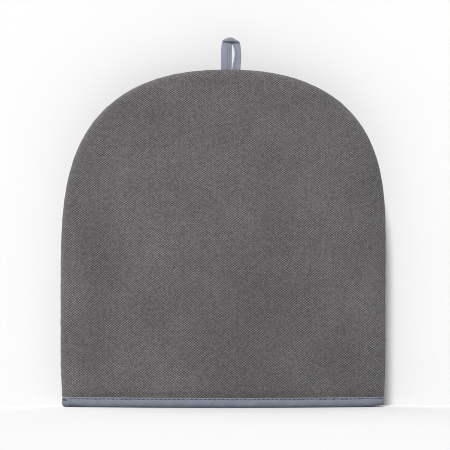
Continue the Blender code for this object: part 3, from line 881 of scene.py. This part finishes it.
def loop_sheet(along, across):
    """Points on the middle of the folded tape: along it and across it, from 0 to 1."""
    position = along * (len(loop_rows) - 1)
    index = np.clip(position.astype(int), 0, len(loop_rows) - 2)
    t = (position - index)[:, None]
    before, begin, finish, after = (
        loop_rows[np.clip(index + step, 0, len(loop_rows) - 1)] for step in (-1, 0, 1, 2)
    )
    row = 0.5 * (
        2 * begin + (finish - before) * t
        + (2 * before - 5 * begin + 4 * finish - after) * t**2
        + (3 * begin - before - 3 * finish + after) * t**3
    )
    outer, inner, puff = row[:, 0:3], row[:, 3:6], row[:, 6] * np.sin(math.pi * across)
    fold = smooth_step((row[:, 2] - 0.024) / 0.002)
    lift = np.stack([0 * puff, -puff, puff * fold], axis=-1)
    return outer + (inner - outer) * across[:, None] + lift + loop_place


def loop_surface(along, across, off):
    """Points at a distance from the middle of the folded tape, in millimetres."""
    step = 0.004
    ahead = loop_sheet(np.minimum(along + step, 1), across)
    ahead -= loop_sheet(np.maximum(along - step, 0), across)
    aside = loop_sheet(along, across + step) - loop_sheet(along, across - step)
    normal = np.cross(ahead, aside)
    normal /= np.linalg.norm(normal, axis=1)[:, None]
    return loop_sheet(along, across) + normal * off[:, None] / 1000


def front_share(along):
    """How wide the front layer lies: a little narrower on the left strand than on the right."""
    return 0.90 + 0.10 * smooth_step((along - 0.35) / 0.3)


def folded_loop(tape):
    """The whole loop as one closed tube of the folded section."""
    columns, around = 171, len(loop_section)
    along = np.repeat(np.linspace(0, 1, columns), around)
    across = np.tile(loop_section[:, 0], columns)
    across = np.where(np.tile(in_front, columns), across * front_share(along), across)
    slack = 1 + 0.10 * np.sin(along * 61) * np.sin(across * 5)
    points = loop_surface(along, across, np.tile(loop_section[:, 1], columns) * slack)
    faces = []
    for column in range(columns - 1):
        for corner in range(around):
            near, far = column * around, (column + 1) * around
            after = (corner + 1) % around
            faces.append((near + corner, near + after, far + after, far + corner))
    faces.append(tuple(reversed(range(around))))
    faces.append(tuple(range((columns - 1) * around, columns * around)))
    mesh = bpy.data.meshes.new("folded_loop")
    mesh.from_pydata(points.tolist(), [], faces)
    lay_flat(mesh, "tape", np.stack([along * loop_length, across * loop_width], axis=-1))
    mesh.shade_smooth()
    mesh.materials.append(tape)
    return add_object("folded_loop", mesh)


loop_tape = tape_cloth("pale bias tape", (0.155, 0.171, 0.210, 1), (0.250, 0.267, 0.312, 1), 0.0)
loop = folded_loop(loop_tape)
loop_stitch_steps = 160
steps = np.linspace(0.02, 0.98, loop_stitch_steps)
loop_thread = thread_material("slate thread", (0.115, 0.120, 0.165, 1))
loop_rows_of_stitches = [
    stitch_row(
        name, loop_surface(steps, stitched_at * share, np.full(loop_stitch_steps, off)),
        False, loop_thread,
        {"Pitch": 0.0024, "Length": 0.0021, "Thickness": 0.00042, "Wander": 0.00005, "Seed": 3},
    )
    for name, share, off in (
        ("loop_stitches_front", front_share(steps), -0.42),
        ("loop_stitches_back", np.ones(loop_stitch_steps), 0.42),
    )
]
for piece in (loop, *loop_rows_of_stitches):
    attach(piece, "root")
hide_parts("hanging_loop")


# Stage: a pale floor and a pale backdrop close behind, which takes the soft shadow but is
# clear from behind, with a soft sky that is brighter on the left and at the back.
def flat_sheet(name, rows):
    """Strips between straight rows, each row as its Y, its Z and its painted tone."""
    mesh = bpy.data.meshes.new(name)
    mesh.from_pydata(
        [(x, y, z) for y, z, _ in rows for x in (-paper_half, paper_half)], [],
        [(2 * row, 2 * row + 1, 2 * row + 3, 2 * row + 2) for row in range(len(rows) - 1)],
    )
    tones = mesh.attributes.new("tone", "FLOAT", "POINT")
    tones.data.foreach_set("value", [tone for _, _, tone in rows for _ in range(2)])
    material, tree, shader = new_material(name + " paper", 1.0)
    paper_tone = node_of(tree, "ShaderNodeAttribute", attribute_name="tone")
    tree.links.new(paper_tone.outputs["Fac"], shader.inputs["Base Color"])
    shader.inputs["Specular IOR Level"].default_value = 0.0
    mesh.materials.append(material)
    return add_object(name, mesh)


def clear_from_behind(sheet):
    """Lets a paper be seen from its front only."""
    tree = sheet.active_material.node_tree
    either = node_of(tree, "ShaderNodeMixShader", [
        (0, node_of(tree, "ShaderNodeNewGeometry").outputs["Backfacing"]),
        (1, tree.nodes["Principled BSDF"].outputs[0]),
        (2, node_of(tree, "ShaderNodeBsdfTransparent").outputs[0]),
    ])
    tree.links.new(either.outputs[0], tree.nodes["Material Output"].inputs[0])


paper_half = 12
backdrop_y = 0.037
# Painted light: the tones are graded to even out the light, paler on the floor towards the backdrop and
# darker on the backdrop near the floor.
floor = flat_sheet("floor", [
    (-paper_half, 0, 0.575), (-0.30, 0, 0.575), (-0.06, 0, 0.600),
    (backdrop_y, 0, 0.625), (paper_half, 0, 0.600),
])
backdrop = flat_sheet("backdrop", [
    (backdrop_y, -0.02, 0.645), (backdrop_y, 0.0, 0.645), (backdrop_y, 0.06, 0.678),
    (backdrop_y, 0.20, 0.690), (backdrop_y, paper_half, 0.690),
])
clear_from_behind(backdrop)
backdrop.visible_shadow = False
backdrop.visible_diffuse = False
backdrop.visible_glossy = False

world = bpy.data.worlds.new("soft studio")
bpy.context.scene.world = world
world.use_nodes = True
sky = world.node_tree
front_strength, rear_strength, brighter_left = 0.22, 1.4, -0.75
direction = node_of(sky, "ShaderNodeTexCoord").outputs["Generated"]
toward = node_of(sky, "ShaderNodeSeparateXYZ", [(0, direction)]).outputs
rear = node_of(sky, "ShaderNodeMapRange", [
    ("Value", toward["Y"]), ("From Min", -0.3), ("From Max", 0.3),
    ("To Min", front_strength), ("To Max", rear_strength),
], interpolation_type="SMOOTHSTEP")
leftwards = calc(sky, "MULTIPLY_ADD", toward["X"], brighter_left, 1.0)
background = sky.nodes["Background"]
sky.links.new(product(sky, rear.outputs[0], leftwards), background.inputs["Strength"])
background.inputs["Color"].default_value = (1, 1, 1, 1)

key = bpy.data.lights.new("window light", "SUN")
key.energy = 3.9
key.angle = 0.20
key_light = add_object("window light", key)
key_light.rotation_euler = Vector((-0.095, -0.70, 0.70)).to_track_quat("Z", "Y").to_euler()

camera_distance, picture_width = 4.5, 0.415
camera = bpy.data.cameras.new("camera")
camera.sensor_width = 36
camera.lens = camera.sensor_width * camera_distance / picture_width
camera.clip_end = 60
view = add_object("camera", camera)
view.location = (0.00184, -camera_distance, 0.1675)
view.rotation_euler = (math.pi / 2, 0, 0)
bpy.context.scene.camera = view
bpy.context.scene.view_settings.view_transform = "Standard"
bpy.context.scene.cycles.filter_width = 1.0
